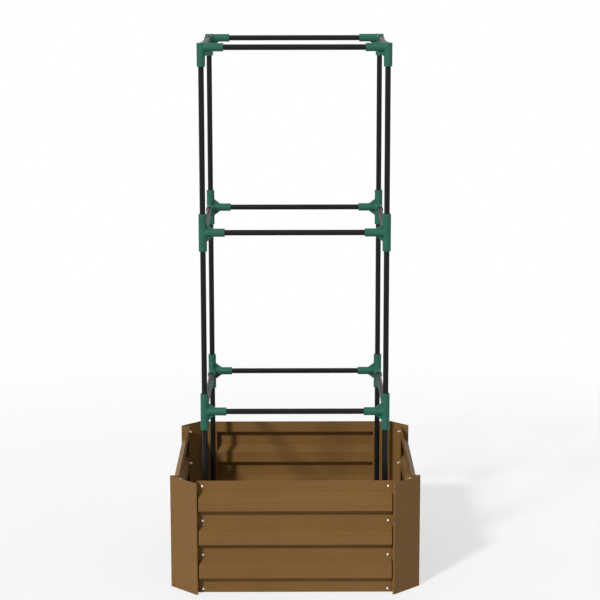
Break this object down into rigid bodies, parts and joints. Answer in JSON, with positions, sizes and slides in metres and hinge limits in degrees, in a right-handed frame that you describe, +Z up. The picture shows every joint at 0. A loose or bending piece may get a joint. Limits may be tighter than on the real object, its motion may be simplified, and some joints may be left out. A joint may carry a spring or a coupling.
{
  "type": "raised garden bed with tomato cage",
  "caption": "Square raised bed of ribbed steel panels with cut corners, open below, holding a tall climbing cage of black tubes and green moulded connectors.",
  "frame": {"origin": "on the ground under the middle of the bed", "axes": "+Z up along the cage's posts, the front panel faces -Y, +X to the right seen from the front"},
  "size_m": [0.65, 0.65, 1.4127],
  "materials": {
    "brown_steel": "satin brown powder coat",
    "bright_zinc": "bright zinc plate",
    "black_tube": "near-black plastic-coated steel tube",
    "green_plastic": "dark green moulded plastic",
    "black_plastic": "black moulded plastic"
  },
  "bodies": {
    "bed": {"side_panel_front": "brown_steel", "side_panel_rear": "brown_steel", "side_panel_left": "brown_steel", "side_panel_right": "brown_steel", "corner_panel_front_left": "brown_steel", "corner_panel_front_right": "brown_steel", "corner_panel_rear_right": "brown_steel", "corner_panel_rear_left": "brown_steel", "panel_bolts": "bright_zinc", "panel_washers": "bright_zinc", "panel_nuts": "bright_zinc"},
    "cage": {"lower_rail_front": "black_tube", "lower_rail_rear": "black_tube", "lower_rail_left": "black_tube", "lower_rail_right": "black_tube", "middle_rail_front": "black_tube", "middle_rail_rear": "black_tube", "middle_rail_left": "black_tube", "middle_rail_right": "black_tube", "top_rail_front": "black_tube", "top_rail_rear": "black_tube", "top_rail_left": "black_tube", "top_rail_right": "black_tube", "lower_post_front_left": "black_tube", "lower_post_front_right": "black_tube", "lower_post_rear_right": "black_tube", "lower_post_rear_left": "black_tube", "middle_post_front_left": "black_tube", "middle_post_front_right": "black_tube", "middle_post_rear_right": "black_tube", "middle_post_rear_left": "black_tube", "upper_post_front_left": "black_tube", "upper_post_front_right": "black_tube", "upper_post_rear_right": "black_tube", "upper_post_rear_left": "black_tube", "lower_tee_front_left": "green_plastic", "lower_tee_front_right": "green_plastic", "lower_tee_rear_right": "green_plastic", "lower_tee_rear_left": "green_plastic", "middle_tee_front_left": "green_plastic", "middle_tee_front_right": "green_plastic", "middle_tee_rear_right": "green_plastic", "middle_tee_rear_left": "green_plastic", "top_elbow_front_left": "green_plastic", "top_elbow_front_right": "green_plastic", "top_elbow_rear_right": "green_plastic", "top_elbow_rear_left": "green_plastic", "foot_tip_front_left": "black_plastic", "foot_tip_front_right": "black_plastic", "foot_tip_rear_right": "black_plastic", "foot_tip_rear_left": "black_plastic"}
  },
  "joints": [
    {"name": "cage_lift", "type": "slide", "parent": "bed", "child": "cage", "axis": [0, 0, 1], "range_m": [0, 0.35]}
  ]
}
